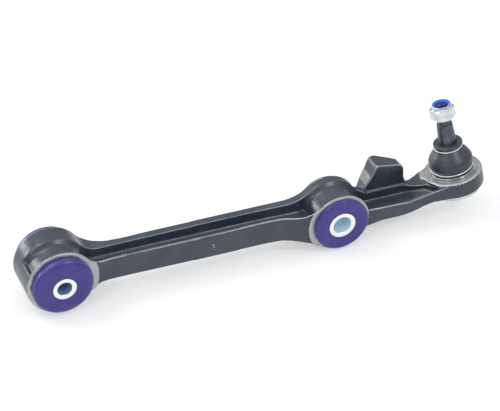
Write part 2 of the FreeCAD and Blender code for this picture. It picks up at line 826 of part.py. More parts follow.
def boot():
    """The rubber boot: a bead on the housing neck, a bulge, and a collar on the stud."""
    neck = housing_neck_radius + boot_fit_clearance
    collar_bore = taper_large_radius + boot_fit_clearance
    bottom = boot_bead_bottom + boot_fit_clearance
    clip_floor = boot_bead_radius - clip_groove_depth
    outer = [
        (neck, bottom),
        (boot_bead_radius, bottom),
        (boot_bead_radius, boot_bead_bottom + clip_groove_low),
        (clip_floor, boot_bead_bottom + clip_groove_low + clip_groove_wall),
        (clip_floor, boot_bead_bottom + clip_groove_high - clip_groove_wall),
        (boot_bead_radius, boot_bead_bottom + clip_groove_high),
        (boot_bulge_radius - 0.3, boot_bulge_height - 3.0),
        (boot_bulge_radius, boot_bulge_height),
        (boot_bulge_radius - 0.9, boot_bulge_height + 4.0),
        (boot_bulge_radius - 3.2, boot_bulge_height + 8.0),
        (boot_groove_radius + 2.4, boot_groove_height - 4.4),
        (boot_groove_radius + 0.6, boot_groove_height - 1.2),
        (boot_groove_radius, boot_groove_height - 0.5),
        (boot_groove_radius, boot_groove_height + 0.6),
        (boot_collar_radius, boot_collar_bottom + 0.6),
        (boot_collar_radius, boot_collar_top - 0.8),
        (boot_collar_radius - 0.8, boot_collar_top),
    ]
    inner = [
        (taper_radius(boot_collar_top) + boot_fit_clearance, boot_collar_top),
        (collar_bore, taper_start_height),
        (collar_bore, boot_groove_height - 1.0),
        (boot_groove_radius - boot_wall, boot_groove_height - 1.0),
        (boot_groove_radius + 2.4 - boot_wall, boot_groove_height - 6.0),
        (boot_bulge_radius - 3.2 - boot_wall, boot_bulge_height + 7.0),
        (boot_bulge_radius - boot_wall, boot_bulge_height),
        (boot_bulge_radius - 0.3 - boot_wall, boot_bead_top + 1.0),
        (neck, boot_bead_top),
    ]
    return turned_about_z(outer + inner)


def lower_clip():
    height = boot_bead_bottom + (clip_groove_low + clip_groove_high) / 2
    clip_floor = boot_bead_radius - clip_groove_depth
    return wire_ring(clip_floor + clip_wire_radius + boot_fit_clearance, clip_wire_radius, height)


def upper_clip():
    ring_radius = boot_groove_radius + clip_wire_radius + boot_fit_clearance
    return wire_ring(ring_radius, clip_wire_radius, boot_groove_height)


# ---------------------------------------------------------------- write the nodes

def half_bushes():
    """All four bush halves, by node name."""
    halves = {}
    for end, sign in (("front", -1), ("rear", 1)):
        halves["inner_bush_" + end] = half_bush(
            0.0, sign, 0.0, inner_eye_width / 2, inner_eye_bore_radius,
            inner_sleeve_radius + sleeve_running_clearance,
            inner_flange_radius, inner_flange_thickness, inner_flange_round)
        halves["damper_bush_" + end] = half_bush(
            damper_bush_x, sign, damper_bush_y, damper_eye_width / 2, damper_eye_bore_radius,
            damper_sleeve_radius + sleeve_running_clearance,
            damper_flange_radius, damper_flange_thickness, damper_flange_round)
    return halves


def build():
    nodes = {"forged_arm": forged_arm()}
    nodes.update(half_bushes())
    nodes["inner_bush_sleeve"] = sleeve(
        0.0, 0.0, inner_sleeve_radius, inner_sleeve_bore_radius, inner_sleeve_length)
    nodes["damper_bush_sleeve"] = sleeve(
        damper_bush_x, damper_bush_y, damper_sleeve_radius, damper_sleeve_bore_radius, damper_sleeve_length)
    joint_pieces = {
        "ball_joint_housing": ball_housing(),
        "ball_joint_cover": ball_cover(),
        "preload_disc_spring": disc_spring(),
        "ball_seat_lower": lower_seat(),
        "ball_seat_upper": upper_seat(),
        "retaining_circlip": circlip(),
        "ball_stud": ball_stud(),
        "dust_boot": boot(),
        "boot_lower_clip": lower_clip(),
        "boot_upper_clip": upper_clip(),
        "locknut": nut(),
        "locknut_insert": nut_insert(),
    }
    for name, shape in joint_pieces.items():
        nodes[name] = place_ball_joint(shape)
    return nodes


os.makedirs("parts", exist_ok=True)
for name, shape in build().items():
    box = shape.BoundBox
    print("%-22s solids %d valid %s volume %9.1f  x %7.2f %7.2f  y %7.2f %7.2f  z %7.2f %7.2f" % (
        name, len(shape.Solids), shape.isValid(), shape.Volume,
        box.XMin, box.XMax, box.YMin, box.YMax, box.ZMin, box.ZMax))
    shape.exportStep("parts/" + name + ".step")
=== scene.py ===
# %% [markdown]
# # A forged control arm
#
# A control arm ties a car's wheel carrier to its body. This one is a single steel forging
# with two bush eyes, a stop lug and a ball joint. The lesson dresses a finished CAD model:
# it gives every piece the edges, the surface and the finish of the real one, and leaves
# every size and every joint as the CAD has it.

# %% Load the CAD frame
import json
import math

import bmesh
import bpy
from mathutils import Matrix, Vector


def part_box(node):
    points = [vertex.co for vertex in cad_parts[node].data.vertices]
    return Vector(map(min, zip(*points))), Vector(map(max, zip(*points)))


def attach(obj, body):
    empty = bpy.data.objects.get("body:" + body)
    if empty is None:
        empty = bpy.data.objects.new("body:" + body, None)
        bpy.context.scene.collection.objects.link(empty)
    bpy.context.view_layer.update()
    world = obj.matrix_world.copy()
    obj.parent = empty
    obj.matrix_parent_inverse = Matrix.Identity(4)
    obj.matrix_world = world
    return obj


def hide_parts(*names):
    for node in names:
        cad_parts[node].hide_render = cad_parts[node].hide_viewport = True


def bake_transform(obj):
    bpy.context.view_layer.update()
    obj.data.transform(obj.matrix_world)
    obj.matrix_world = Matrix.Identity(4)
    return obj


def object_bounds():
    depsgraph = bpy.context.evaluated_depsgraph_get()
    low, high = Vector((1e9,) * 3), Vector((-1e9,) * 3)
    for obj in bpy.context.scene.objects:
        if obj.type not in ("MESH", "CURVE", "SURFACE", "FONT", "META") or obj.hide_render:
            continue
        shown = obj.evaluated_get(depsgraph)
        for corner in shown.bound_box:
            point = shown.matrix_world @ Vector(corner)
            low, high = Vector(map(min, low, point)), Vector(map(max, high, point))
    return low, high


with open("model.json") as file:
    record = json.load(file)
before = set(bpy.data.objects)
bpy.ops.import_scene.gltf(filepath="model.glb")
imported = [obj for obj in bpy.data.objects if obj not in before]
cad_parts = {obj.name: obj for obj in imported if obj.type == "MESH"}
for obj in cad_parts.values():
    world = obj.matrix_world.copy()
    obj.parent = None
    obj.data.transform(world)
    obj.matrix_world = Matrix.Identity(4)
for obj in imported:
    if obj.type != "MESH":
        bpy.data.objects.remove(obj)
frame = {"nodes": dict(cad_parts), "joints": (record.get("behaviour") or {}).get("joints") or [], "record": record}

cad_low, cad_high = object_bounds()
nodes = frame["nodes"]
joints = {joint["name"]: joint for joint in frame["joints"]}
mounts = {mount["name"]: mount for mount in frame["record"]["mounts"]}
MM = 0.001
print("nodes", len(nodes), "size in mm", [round(size / MM, 1) for size in cad_high - cad_low])

# %% [markdown]
# Everything turned on a lathe has an axis. The joints give the axes of both bushes and of
# the ball stud, so a turned piece is drawn once as half a section and spun about its axis.
# The stud's section is measured from the machined face of the boss.

# %% The axes of the turned pieces
ALONG_Y = Vector((0.0, 1.0, 0.0))
ball_centre = Vector(joints["stud_spin"]["pos_m"])
stud_axis = Vector(joints["stud_spin"]["axis"]).normalized()
BALL_BELOW_FACE = 5.0
boss_face = ball_centre + stud_axis * BALL_BELOW_FACE * MM
inner_centre = Vector(mounts["inner_bolt_bore"]["pos_m"])
damper_centre = Vector(mounts["damper_bolt_bore"]["pos_m"])
print("boss face at", [round(value / MM, 1) for value in boss_face])


def middle(node):
    """Centre of a node's box."""
    low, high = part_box(node)
    return (low + high) / 2


# %% [markdown]
# Real metal has no knife edges. A section is therefore a list of corners, each with the
# radius that its edge is broken to, and the corners become short arcs before the spin.
# A stack of cylinders joined by Booleans would give the same outline, but no edge radii.
# A spin that ends where it began is merged, and the normals are made to point outwards.

# %% Helpers for turned pieces
ARC_STEPS = 5
SHARP_ANGLE = math.radians(32)


def rounded_section(corners):
    """Points of a closed section; each corner is (radius, height, edge radius) in mm."""
    points = []
    count = len(corners)
    for index, (radius, height, edge) in enumerate(corners):
        here = Vector((radius, height))
        if edge <= 0:
            points.append(here)
            continue
        before = Vector(corners[index - 1][:2]) - here
        after = Vector(corners[(index + 1) % count][:2]) - here
        reach = min(edge, 0.45 * before.length, 0.45 * after.length)
        start = here + before.normalized() * reach
        end = here + after.normalized() * reach
        for step in range(ARC_STEPS + 1):
            share = step / ARC_STEPS
            points.append(start.lerp(here, share).lerp(here.lerp(end, share), share))
    return points


def new_piece(bm, name, material, smooth_all=False):
    """A shown object from a bmesh, smooth but for its real edges."""
    mesh = bpy.data.meshes.new(name)
    bm.to_mesh(mesh)
    bm.free()
    mesh.shade_smooth()
    if not smooth_all:
        mesh.set_sharp_from_angle(angle=SHARP_ANGLE)
    piece = bpy.data.objects.new(name, mesh)
    bpy.context.scene.collection.objects.link(piece)
    mesh.materials.append(material)
    print(name, "faces", len(mesh.polygons))
    return piece


def stand_on_axis(bm, origin, axis):
    """Turn a bmesh from the +Z axis to the given one and carry it to its origin."""
    turn = Vector((0.0, 0.0, 1.0)).rotation_difference(axis)
    place = Matrix.Translation(origin) @ turn.to_matrix().to_4x4()
    bmesh.ops.transform(bm, matrix=place, verts=bm.verts)


def spin_section(points, segments):
    """A bmesh made by a full turn of a closed section of (radius, height) points in mm."""
    bm = bmesh.new()
    ring = [bm.verts.new((point[0] * MM, 0.0, point[1] * MM)) for point in points]
    edges = [bm.edges.new((ring[index - 1], ring[index])) for index in range(len(ring))]
    bmesh.ops.spin(bm, geom=ring + edges, cent=(0, 0, 0), axis=(0, 0, 1), angle=math.tau,
                   steps=segments, use_merge=True)
    bmesh.ops.remove_doubles(bm, verts=bm.verts, dist=0.002 * MM)
    bmesh.ops.recalc_face_normals(bm, faces=bm.faces)
    return bm


def turned(name, corners, origin, axis, material, segments=128):
    """A turned piece from the corners of its half section."""
    bm = spin_section(rounded_section(corners), segments)
    stand_on_axis(bm, origin, axis)
    return new_piece(bm, name, material)


# %% [markdown]
# A finish here is a small node tree on the Principled shader. An image wrapped around each
# piece would do too, but a procedural pattern needs no unwrapping and is sharp at any
# distance. The class below keeps the trees short: it makes the shader, adds noise read from
# Object coordinates, mixes, and turns a height into a bump. Numbers that are the same all
# over sit on the shader's own sockets.

# %% Helpers for materials
class Finish:
    """A material under construction, with its Principled shader."""

    def __init__(self, name, colour, roughness, metallic=0.0, coat=0.0,
                 coat_roughness=0.1, specular=0.5):
        self.material = bpy.data.materials.new(name)
        self.material.use_nodes = True
        self.tree = self.material.node_tree
        self.shader = self.tree.nodes["Principled BSDF"]
        self.set("Base Color", (*colour, 1.0))
        self.set("Roughness", roughness)
        self.set("Metallic", metallic)
        self.set("Coat Weight", coat)
        self.set("Coat Roughness", coat_roughness)
        self.set("Specular IOR Level", specular)
        self.coordinates = self.tree.nodes.new("ShaderNodeTexCoord").outputs["Object"]

    def set(self, socket, value):
        self.shader.inputs[socket].default_value = value

    def link(self, output, node_input):
        self.tree.links.new(output, node_input)
        return output

    def node(self, kind, **values):
        made = self.tree.nodes.new(kind)
        for key, value in values.items():
            setattr(made, key, value)
        return made

    def noise(self, scale, detail=3.0, roughness=0.55, stretch=None):
        """Noise in the row's metres; scale is the number of cells in a metre."""
        made = self.node("ShaderNodeTexNoise")
        made.inputs["Scale"].default_value = scale
        made.inputs["Detail"].default_value = detail
        made.inputs["Roughness"].default_value = roughness
        source = self.coordinates
        if stretch:
            mapping = self.node("ShaderNodeMapping")
            mapping.inputs["Scale"].default_value = stretch
            self.link(source, mapping.inputs["Vector"])
            source = mapping.outputs["Vector"]
        self.link(source, made.inputs["Vector"])
        return made.outputs["Fac"]

    def ramp(self, value, low, high, out_low=0.0, out_high=1.0):
        """A value taken from one range to another, held at both ends."""
        made = self.node("ShaderNodeMapRange", interpolation_type="SMOOTHSTEP")
        made.inputs["From Min"].default_value = low
        made.inputs["From Max"].default_value = high
        made.inputs["To Min"].default_value = out_low
        made.inputs["To Max"].default_value = out_high
        self.link(value, made.inputs["Value"])
        return made.outputs["Result"]

    def maths(self, operation, first, second=None):
        """One step of arithmetic on values or sockets."""
        made = self.node("ShaderNodeMath", operation=operation)
        for index, value in enumerate((first, second)):
            if value is None:
                continue
            if isinstance(value, (int, float)):
                made.inputs[index].default_value = value
            else:
                self.link(value, made.inputs[index])
        return made.outputs["Value"]

    def mix_colour(self, share, first, second):
        """A colour between two colours or sockets."""
        made = self.node("ShaderNodeMix", data_type="RGBA")
        self.link(share, made.inputs["Factor"])
        for key, value in ((6, first), (7, second)):
            if isinstance(value, tuple):
                made.inputs[key].default_value = (*value, 1.0)
            else:
                self.link(value, made.inputs[key])
        return made.outputs[2]

    def mix_value(self, share, first, second):
        """A number between two numbers or sockets."""
        made = self.node("ShaderNodeMix", data_type="FLOAT")
        self.link(share, made.inputs["Factor"])
        for key, value in ((2, first), (3, second)):
            if isinstance(value, (int, float)):
                made.inputs[key].default_value = value
            else:
                self.link(value, made.inputs[key])
        return made.outputs[0]

    def bump(self, height, distance, strength=1.0, under=None):
        """Relief from a height of 0 to 1; distance is its depth in metres."""
        made = self.node("ShaderNodeBump")
        made.inputs["Strength"].default_value = strength
        made.inputs["Distance"].default_value = distance
        self.link(height, made.inputs["Height"])
        if under is not None:
            self.link(under, made.inputs["Normal"])
        return made.outputs["Normal"]

    def distance_from_axis(self, origin, axis):
        """Distance of a point from a line, and its height along the line, as two sockets."""
        offset = self.node("ShaderNodeVectorMath", operation="SUBTRACT")
        self.link(self.coordinates, offset.inputs[0])
        offset.inputs[1].default_value = origin
        height = self.node("ShaderNodeVectorMath", operation="DOT_PRODUCT")
        self.link(offset.outputs["Vector"], height.inputs[0])
        height.inputs[1].default_value = axis
        across = self.node("ShaderNodeVectorMath", operation="CROSS_PRODUCT")
        self.link(offset.outputs["Vector"], across.inputs[0])
        across.inputs[1].default_value = axis
        length = self.node("ShaderNodeVectorMath", operation="LENGTH")
        self.link(across.outputs["Vector"], length.inputs[0])
        return length.outputs["Value"], height.outputs["Value"]


# %% [markdown]
# ## The finishes
#
# The forging is coated in a thin semi-matt blue-grey paint over a slightly uneven skin.
# After coating, both faces of each eye and the top of the boss were turned bare, so the
# same material also holds the machined zones. Painting them by hand as a mask would be
# possible, but here each one is a slab about an axis: the steel is bare where a point lies
# near the plane of the cut and within the cutter's radius. That keeps the borders exact.

# %% The coated forging with its turned faces
# Half the width of each eye in mm. EYE_FACES adds the cutter's reach around each centre.
INNER_HALF_WIDTH = 21.7
DAMPER_HALF_WIDTH = 18.6
EYE_FACES = (
    (inner_centre, INNER_HALF_WIDTH * MM, 37.4 * MM),
    (damper_centre, DAMPER_HALF_WIDTH * MM, 33.4 * MM),
)
BOSS_FACING_RADIUS = 33.0 * MM
CUT_DEPTH = 0.35 * MM
TURNING_PITCH = 1.1 * MM


def turned_zone(finish, origin, axis, face_height, radius):
    """A mask of 1 beyond a turned plane and within the cutter's reach, with the radius socket."""
    distance, height = finish.distance_from_axis(origin, axis)
    beyond = finish.ramp(height, face_height - 1.3 * CUT_DEPTH, face_height - CUT_DEPTH)
    within = finish.ramp(distance, radius + 0.1 * MM, radius)
    return finish.maths("MULTIPLY", beyond, within), distance


# Places where the coat was knocked off: (x, y, z, radius) in mm.
CHIPS = (
    (153.0, -18.2, 1.0, 1.1),
    (153.6, -18.2, -1.6, 0.9),
    (49.0, -16.4, 12.2, 1.2),
    (62.0, -15.6, 11.8, 1.4),
    (65.0, -15.6, 12.0, 1.0),
    (192.0, -17.0, 13.0, 1.0),
    (336.0, -21.0, -6.0, 0.9),
)


def chip_mask(finish):
    """1 inside a chip; noise gives each chip a ragged edge."""
    wobble = finish.node("ShaderNodeTexNoise")
    wobble.inputs["Scale"].default_value = 900.0
    finish.link(finish.coordinates, wobble.inputs["Vector"])
    push = finish.node("ShaderNodeVectorMath", operation="MULTIPLY_ADD")
    finish.link(wobble.outputs["Color"], push.inputs[0])
    push.inputs[1].default_value = (2.4 * MM, 2.4 * MM, 2.4 * MM)
    finish.link(finish.coordinates, push.inputs[2])
    chipped = None
    for x, y, z, radius in CHIPS:
        gap = finish.node("ShaderNodeVectorMath", operation="DISTANCE")
        finish.link(push.outputs["Vector"], gap.inputs[0])
        gap.inputs[1].default_value = ((x + 1.2) * MM, (y + 1.2) * MM, (z + 1.2) * MM)
        inside = finish.ramp(gap.outputs["Value"], radius * MM, 0.8 * radius * MM)
        chipped = inside if chipped is None else finish.maths("MAXIMUM", chipped, inside)
    return chipped


def coated_forging():
    finish = Finish("coated_forging", (0.03, 0.036, 0.044), 0.3, specular=0.6)
    broad = finish.noise(38.0, 4.0)
    fine = finish.noise(800.0, 3.0, 0.6)
    patches = finish.ramp(broad, 0.35, 0.68)
    paint = finish.mix_colour(patches, (0.019, 0.027, 0.040), (0.030, 0.040, 0.056))
    # Raised edges are painted a little paler: partly dust and rubbing, partly a painted highlight along each edge.
    geometry = finish.node("ShaderNodeNewGeometry")
    worn_and_highlit_edges = finish.ramp(geometry.outputs["Pointiness"], 0.515, 0.555, 0.0, 0.9)
    paint = finish.mix_colour(worn_and_highlit_edges, paint, (0.42, 0.45, 0.50))
    # A few chips show a warm primer.
    paint = finish.mix_colour(chip_mask(finish), paint, (0.40, 0.33, 0.24))
    bare = None
    marks = None
    zones = []
    for centre, half_width, radius in EYE_FACES:
        for side in (-1.0, 1.0):
            zones.append((centre, ALONG_Y * side, half_width, radius))
    zones.append((boss_face, stud_axis, 0.0, BOSS_FACING_RADIUS))
    for origin, axis, face_height, radius in zones:
        mask, distance = turned_zone(finish, origin, axis, face_height, radius)
        wave = finish.maths("SINE", finish.maths("MULTIPLY", distance, math.tau / TURNING_PITCH))
        groove = finish.maths("MULTIPLY", finish.ramp(wave, -1.0, 1.0), mask)
        bare = mask if bare is None else finish.maths("MAXIMUM", bare, mask)
        marks = groove if marks is None else finish.maths("MAXIMUM", marks, groove)
    steel = finish.mix_colour(finish.noise(240.0), (0.35, 0.36, 0.37), (0.46, 0.47, 0.48))
    finish.link(finish.mix_colour(bare, paint, steel), finish.shader.inputs["Base Color"])
    finish.link(finish.mix_value(bare, 0.0, 0.85), finish.shader.inputs["Metallic"])
    paint_gloss = finish.ramp(finish.noise(90.0), 0.3, 0.7, 0.24, 0.36)
    finish.link(finish.mix_value(bare, paint_gloss, 0.42), finish.shader.inputs["Roughness"])
    skin = finish.mix_value(bare, fine, 0.5)
    relief = finish.bump(skin, 0.05 * MM, 0.45)
    relief = finish.bump(marks, 0.008 * MM, 0.5, relief)
    finish.link(relief, finish.shader.inputs["Normal"])
    return finish.material


# %% [markdown]
# Polyurethane for bushes is cast and then turned. It is smooth and glossy with a soft
# milky depth. A plain plastic shader looks too hard for it, so the base colour varies a
# little, some light passes under the surface, and a thin coat gives the broad gloss.

# %% Polyurethane
def polyurethane():
    finish = Finish("violet_polyurethane", (0.03, 0.018, 0.21), 0.3, specular=0.36, coat=0.12,
                    coat_roughness=0.14)
    cloud = finish.ramp(finish.noise(55.0, 3.0), 0.3, 0.7)
    finish.link(finish.mix_colour(cloud, (0.034, 0.024, 0.180), (0.048, 0.036, 0.215)),
                finish.shader.inputs["Base Color"])
    finish.link(finish.ramp(finish.noise(420.0), 0.3, 0.7, 0.26, 0.36), finish.shader.inputs["Roughness"])
    finish.link(finish.bump(finish.noise(140.0, 2.0), 0.02 * MM, 0.15), finish.shader.inputs["Normal"])
    finish.set("Subsurface Weight", 0.05)
    finish.set("Subsurface Radius", (0.004, 0.003, 0.008))
    finish.set("Subsurface Scale", 0.5)
    return finish.material


# %% [markdown]
# The plated pieces differ in colour and polish only. Each one is a metal whose roughness
# wanders a little, with faint rings left by the tool about its own axis.

# %% Plated and bare metals
def turned_metal(name, dark, light, roughness, origin, axis, metallic=1.0, bore=None,
                 bore_colour=None):
    """A plated or bare metal; inside the bore radius it may have a colour of its own."""
    finish = Finish(name, light, roughness, metallic=metallic)
    distance, height = finish.distance_from_axis(origin, axis)
    travel = finish.maths("ADD", distance, height)
    wave = finish.maths("SINE", finish.maths("MULTIPLY", travel, math.tau / TURNING_PITCH))
    colour = finish.mix_colour(finish.ramp(finish.noise(160.0, 4.0), 0.3, 0.7), dark, light)
    if bore:
        inside = finish.ramp(distance, bore + 0.25 * MM, bore + 0.05 * MM)
        colour = finish.mix_colour(inside, colour, bore_colour)
        finish.link(finish.mix_value(inside, metallic, 0.35), finish.shader.inputs["Metallic"])
    finish.link(colour, finish.shader.inputs["Base Color"])
    finish.link(finish.ramp(finish.noise(220.0), 0.3, 0.7, roughness * 0.9, roughness * 1.15),
                finish.shader.inputs["Roughness"])
    finish.link(finish.bump(finish.ramp(wave, -1.0, 1.0), 0.006 * MM, 0.3), finish.shader.inputs["Normal"])
    return finish.material


# %% [markdown]
# The boot is moulded rubber with a satin skin. A very fine grain and a faint bloom of
# lighter dust keep it from looking like paint.

# %% Rubber
def boot_rubber():
    finish = Finish("boot_rubber", (0.03, 0.033, 0.042), 0.36, specular=0.5)
    bloom = finish.ramp(finish.noise(70.0, 4.0), 0.4, 0.75)
    finish.link(finish.mix_colour(bloom, (0.026, 0.030, 0.042), (0.043, 0.049, 0.063)),
                finish.shader.inputs["Base Color"])
    finish.link(finish.ramp(finish.noise(260.0), 0.3, 0.7, 0.32, 0.44), finish.shader.inputs["Roughness"])
    finish.link(finish.bump(finish.noise(900.0, 2.0), 0.03 * MM, 0.35), finish.shader.inputs["Normal"])
    return finish.material


# %% [markdown]
# The ball runs in a seat of white acetal, and a blue nylon ring locks the nut. Both are
# moulded plastics with a slightly dull skin. Two separate trees would repeat themselves,
# so one function makes both from two close tones and a fine grain.

# %% Plastics of the seat and of the nut's ring
def moulded_plastic(name, dark, light, roughness):
    finish = Finish(name, light, roughness, specular=0.5)
    finish.link(finish.mix_colour(finish.ramp(finish.noise(200.0), 0.3, 0.7), dark, light),
                finish.shader.inputs["Base Color"])
    finish.link(finish.bump(finish.noise(900.0), 0.02 * MM, 0.4), finish.shader.inputs["Normal"])
    return finish.material


# %% [markdown]
# Pieces of the same stock share one finish, as they would on the bench. A finish for each
# object would work as well, but shared ones stay alike when a number is changed. The two
# sleeves differ only in the tone of their bores, which are bluer, and darker in the inner sleeve.

# %% Make every finish once
coating = coated_forging()
violet = polyurethane()
SLEEVE_DARK = (0.80, 0.84, 0.87)
SLEEVE_LIGHT = (0.93, 0.95, 0.96)
inner_zinc = turned_metal("inner_sleeve_zinc", SLEEVE_DARK, SLEEVE_LIGHT, 0.3, inner_centre, ALONG_Y,
                          bore=7.1 * MM, bore_colour=(0.26, 0.40, 0.58))
damper_zinc = turned_metal("damper_sleeve_zinc", SLEEVE_DARK, SLEEVE_LIGHT, 0.3, damper_centre, ALONG_Y,
                           bore=9.1 * MM, bore_colour=(0.66, 0.80, 0.90))


def stud_side_metal(name, dark, light, roughness, metallic=1.0):
    """A metal of a piece that is turned about the stud's axis."""
    return turned_metal(name, dark, light, roughness, boss_face, stud_axis, metallic)


housing_zinc = stud_side_metal("housing_zinc", (0.44, 0.46, 0.47), (0.60, 0.62, 0.63), 0.32)
nut_zinc = stud_side_metal("nut_zinc", (0.50, 0.54, 0.56), (0.68, 0.72, 0.74), 0.17)
wire_zinc = stud_side_metal("clip_wire_zinc", (0.74, 0.76, 0.78), (0.84, 0.85, 0.86), 0.42, 0.7)
ring_zinc = stud_side_metal("yellow_ring_zinc", (0.42, 0.43, 0.39), (0.58, 0.58, 0.51), 0.34)
phosphate = stud_side_metal("stud_phosphate", (0.080, 0.086, 0.102), (0.130, 0.138, 0.160), 0.4)
spring_steel = stud_side_metal("spring_steel", (0.22, 0.22, 0.23), (0.34, 0.34, 0.35), 0.35)
rubber = boot_rubber()
acetal = moulded_plastic("seat_acetal", (0.78, 0.77, 0.71), (0.87, 0.86, 0.81), 0.42)
nylon = moulded_plastic("blue_nylon", (0.02, 0.10, 0.62), (0.035, 0.15, 0.78), 0.38)
print("materials", len(bpy.data.materials))

# %% [markdown]
# ## The forging
#
# A forging comes out of its dies with a radius on every edge, which a CAD solid made of
# cuts and unions doesn't have. Beveling such a solid edge by edge fails where many cuts
# meet. A voxel remesh sees the shape as one skin instead, and a few rounds of smoothing
# then roll every edge to about the same radius, as the dies do. The turned faces are
# pressed flat again afterwards, because a cutter leaves those crisp.

# %% Tools for a forged skin
FORGING_VOXEL = 0.75 * MM
SMOOTHING_ROUNDS = 3
PRESS_DEPTH = 0.7 * MM
KEPT_SHARE = 0.48
HOLLOW_LIFT = 0.03 * MM
HOLLOW_GROWTH = 4


def merged_copy(node):
    """A bmesh of a CAD node's mesh with its loose triangles joined."""
    bm = bmesh.new()
    bm.from_mesh(nodes[node].data)
    bmesh.ops.remove_doubles(bm, verts=bm.verts, dist=0.004 * MM)
    return bm


def remeshed(bm, voxel):
    """The bmesh's skin rebuilt at one even cell size."""
    mesh = bpy.data.meshes.new("remesh_source")
    bm.to_mesh(mesh)
    bm.free()
    holder = bpy.data.objects.new("remesh_source", mesh)
    bpy.context.scene.collection.objects.link(holder)
    remesh = holder.modifiers.new("skin", "REMESH")
    remesh.mode = "VOXEL"
    remesh.voxel_size = voxel
    depsgraph = bpy.context.evaluated_depsgraph_get()
    result = bpy.data.meshes.new_from_object(holder.evaluated_get(depsgraph))
    bpy.data.objects.remove(holder)
    skin = bmesh.new()
    skin.from_mesh(result)
    return skin


def press_flat(bm, origin, axis, face_height, radius):
    """Put the points just under a turned plane exactly on it."""
    pressed = 0
    for vert in bm.verts:
        offset = vert.co - origin
        height = offset.dot(axis)
        if abs(height - face_height) > PRESS_DEPTH:
            continue
        if (offset - axis * height).length < radius:
            vert.co += axis * (face_height - height)
            pressed += 1
    return pressed


def smooth(bm, verts, rounds):
    for turn in range(rounds):
        bmesh.ops.smooth_vert(bm, verts=verts, factor=0.5, use_axis_x=True, use_axis_y=True,
                              use_axis_z=True)


def hollow_verts(bm):
    """Points in inside corners, where the neighbours lie above the surface, with two rings around."""
    bm.normal_update()
    chosen = set()
    for vert in bm.verts:
        around = [edge.other_vert(vert).co for edge in vert.link_edges]
        lift = (sum(around, Vector()) / len(around) - vert.co).dot(vert.normal)
        if lift > HOLLOW_LIFT:
            chosen.add(vert)
    for ring in range(2):
        chosen |= {edge.other_vert(vert) for vert in chosen for edge in vert.link_edges}
    return list(chosen)


# %% [markdown]
# The steps are now run in order. The even skin has far more faces than its flat walls
# need, so a Decimate modifier takes out those that shape nothing. Its result is kept as
# the mesh itself, because the export and the pose tools then handle the light version.

# %% The forging's skin
skin = remeshed(merged_copy("forged_arm"), FORGING_VOXEL)
smooth(skin, skin.verts, SMOOTHING_ROUNDS)
# Inside corners of a die are rounder than outside ones, so they are smoothed on their own.
for growth in range(HOLLOW_GROWTH):
    smooth(skin, hollow_verts(skin), 4)
for eye_centre, half_width, facing_radius in EYE_FACES:
    for side in (-1.0, 1.0):
        press_flat(skin, eye_centre, ALONG_Y * side, half_width, facing_radius - 1.0 * MM)
press_flat(skin, boss_face, stud_axis, 0.0, BOSS_FACING_RADIUS)
fine_faces = len(skin.faces)
forging = new_piece(skin, "arm_forging", coating, smooth_all=True)
thinned = forging.modifiers.new("fewer faces", "DECIMATE")
thinned.ratio = KEPT_SHARE
depsgraph = bpy.context.evaluated_depsgraph_get()
thin_mesh = bpy.data.meshes.new_from_object(forging.evaluated_get(depsgraph))
forging.modifiers.clear()
forging.data = thin_mesh
print("forging faces", fine_faces, "thinned to", len(thin_mesh.polygons))
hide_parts("forged_arm")
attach(forging, "arm")

# %% [markdown]
# ## The bushes
#
# Each bush is two cast halves pushed in from both sides, with a steel sleeve through the
# middle. The inner bush has a thick domed flange; the damper bush has a thin flat one.
# A bevel would round a rim evenly, but the dome reaches further in than it falls, so the
# rim is a quarter of an ellipse in the section.

# %% Bush halves
SLEEVE_GAP = 0.05
HALF_GAP = 0.5
DOME_STEPS = 12
BUSH_MOUTH = 0.5
INNER_DOME = (7.5, 4.0)
DAMPER_DOME = (2.0, 1.4)
INNER_EYE_BORE = 26.0
DAMPER_EYE_BORE = 23.0


def bush_half(node, centre, side, half_width, eye_bore, sleeve_radius, dome):
    """One flanged half; dome is how far its rim is rounded inwards and along, in mm."""
    low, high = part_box(node)
    flange_radius = (high.x - low.x) / 2 / MM
    outer_end = (high.y if side > 0 else low.y) - centre.y
    flange_top = abs(outer_end) / MM
    bore = sleeve_radius + SLEEVE_GAP
    rim = []
    for step in range(DOME_STEPS + 1):
        angle = math.radians(90) * step / DOME_STEPS
        inwards = dome[0] * (1 - math.cos(angle))
        down = dome[1] * (1 - math.sin(angle))
        rim.append((flange_radius - inwards, flange_top - down, 0.0))
    corners = [
        (bore, HALF_GAP, 0.0),
        (eye_bore, HALF_GAP, 0.6),
        (eye_bore, half_width, 0.0),
        (flange_radius, half_width, 0.5),
    ] + rim + [(bore, flange_top, BUSH_MOUTH)]
    piece = turned(node + "_cast", corners, centre, ALONG_Y * side, violet, 160)
    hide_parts(node)
    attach(piece, "arm")
    return piece


def sleeve_radius_of(node):
    low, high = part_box(node)
    return (high.x - low.x) / 2 / MM


inner_sleeve_radius = sleeve_radius_of("inner_bush_sleeve")
damper_sleeve_radius = sleeve_radius_of("damper_bush_sleeve")
for side, end in ((-1.0, "front"), (1.0, "rear")):
    bush_half("inner_bush_" + end, inner_centre, side, INNER_HALF_WIDTH, INNER_EYE_BORE,
              inner_sleeve_radius, INNER_DOME)
    bush_half("damper_bush_" + end, damper_centre, side, DAMPER_HALF_WIDTH, DAMPER_EYE_BORE,
              damper_sleeve_radius, DAMPER_DOME)
print("bush sleeves", round(inner_sleeve_radius, 2), round(damper_sleeve_radius, 2))

# %% [markdown]
# The sleeves are cut from thick tube. Their outer edges are broken and their bores are
# countersunk, so that the bolt finds its way in. A tube from two cylinders would need both
# cuts afterwards, while a turned section has them from the start.

# %% Steel sleeves
SLEEVE_BREAK = 0.35
BORE_CHAMFER = 0.7


